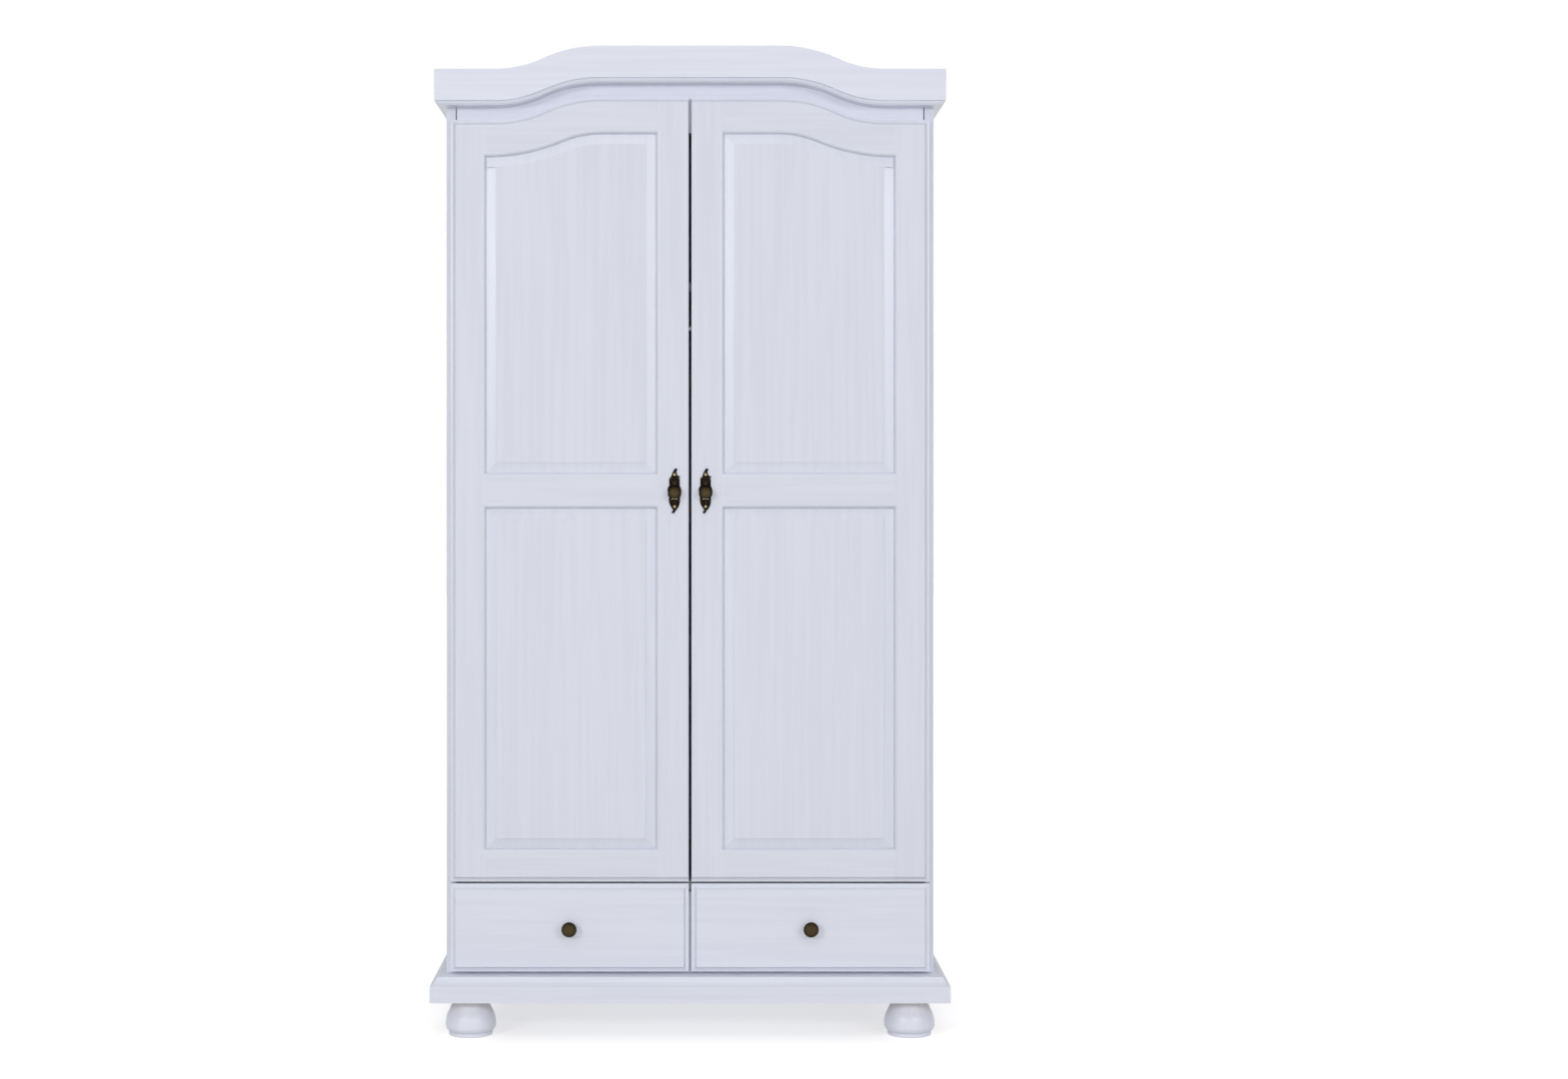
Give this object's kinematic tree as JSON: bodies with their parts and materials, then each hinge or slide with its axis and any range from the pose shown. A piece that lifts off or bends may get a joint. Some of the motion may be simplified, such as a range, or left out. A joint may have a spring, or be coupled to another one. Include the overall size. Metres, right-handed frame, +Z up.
{
  "type": "wardrobe with doors",
  "caption": "White painted wardrobe with an arched cornice, panelled hinged doors, low drawers, a moulded plinth and bun feet.",
  "frame": {"origin": "on the floor, under the middle of the plinth's outline", "axes": "+Z up; +X to the right as seen from the front; the doors and drawers face -Y, and the drawers slide out along -Y"},
  "size_m": [1, 0.58, 1.914],
  "materials": {
    "painted_pine": "cool white satin paint over pine, faint grain",
    "bare_pine": "sanded pine, clear matt",
    "antique_brass": "dark antiqued brass, rubbed bright on the high spots",
    "hinge_steel": "nickel-plated steel",
    "socket_steel": "zinc-plated steel",
    "rail_chrome": "bright chrome-plated tube",
    "pad_rubber": "soft clear-white pads"
  },
  "bodies": {
    "carcass": {"back_batten": "painted_pine", "bottom_panel": "painted_pine", "bumper_pads": "pad_rubber", "bun_feet": "painted_pine", "clothes_rail": "rail_chrome", "cornice_front": "painted_pine", "cornice_front_moulding": "painted_pine", "cornice_side_mouldings": "painted_pine", "drawer_divider": "painted_pine", "drawer_runners": "bare_pine", "drawer_shelf": "painted_pine", "frieze_board": "painted_pine", "hat_shelf": "painted_pine", "hat_shelf_battens": "painted_pine", "hinge_arms": "hinge_steel", "left_back_panel": "painted_pine", "left_cornice_return": "painted_pine", "left_side_panel": "painted_pine", "plinth_back_rail": "painted_pine", "plinth_corner_blocks": "bare_pine", "plinth_front_cap": "painted_pine", "plinth_front_rail": "painted_pine", "plinth_side_caps": "painted_pine", "plinth_side_rails": "painted_pine", "rail_sockets": "socket_steel", "right_back_panel": "painted_pine", "right_cornice_return": "painted_pine", "right_side_panel": "painted_pine", "top_panel": "painted_pine", "wall_brackets": "hinge_steel"},
    "left_door": {"left_door_bottom_rail": "painted_pine", "left_door_handle_plate": "antique_brass", "left_door_hinge_cups": "hinge_steel", "left_door_inner_stile": "painted_pine", "left_door_knob": "antique_brass", "left_door_lower_panel": "painted_pine", "left_door_mid_rail": "painted_pine", "left_door_outer_stile": "painted_pine", "left_door_top_rail": "painted_pine", "left_door_upper_panel": "painted_pine"},
    "right_door": {"right_door_bottom_rail": "painted_pine", "right_door_handle_plate": "antique_brass", "right_door_hinge_cups": "hinge_steel", "right_door_inner_stile": "painted_pine", "right_door_knob": "antique_brass", "right_door_lower_panel": "painted_pine", "right_door_mid_rail": "painted_pine", "right_door_outer_stile": "painted_pine", "right_door_top_rail": "painted_pine", "right_door_upper_panel": "painted_pine"},
    "left_drawer": {"left_drawer_back": "bare_pine", "left_drawer_bottom": "bare_pine", "left_drawer_front": "painted_pine", "left_drawer_knob": "antique_brass", "left_drawer_sides": "bare_pine"},
    "right_drawer": {"right_drawer_back": "bare_pine", "right_drawer_bottom": "bare_pine", "right_drawer_front": "painted_pine", "right_drawer_knob": "antique_brass", "right_drawer_sides": "bare_pine"}
  },
  "joints": [
    {"name": "left_door_hinge", "type": "hinge", "parent": "carcass", "child": "left_door", "pos_m": [-0.456, -0.2395, 1.03], "axis": [0, 0, -1], "range_deg": [0, 100]},
    {"name": "right_door_hinge", "type": "hinge", "parent": "carcass", "child": "right_door", "pos_m": [0.456, -0.2395, 1.03], "axis": [0, 0, 1], "range_deg": [0, 100]},
    {"name": "left_drawer_slide", "type": "slide", "parent": "carcass", "child": "left_drawer", "axis": [0, -1, 0], "range_m": [0, 0.33]},
    {"name": "right_drawer_slide", "type": "slide", "parent": "carcass", "child": "right_drawer", "axis": [0, -1, 0], "range_m": [0, 0.33]}
  ]
}
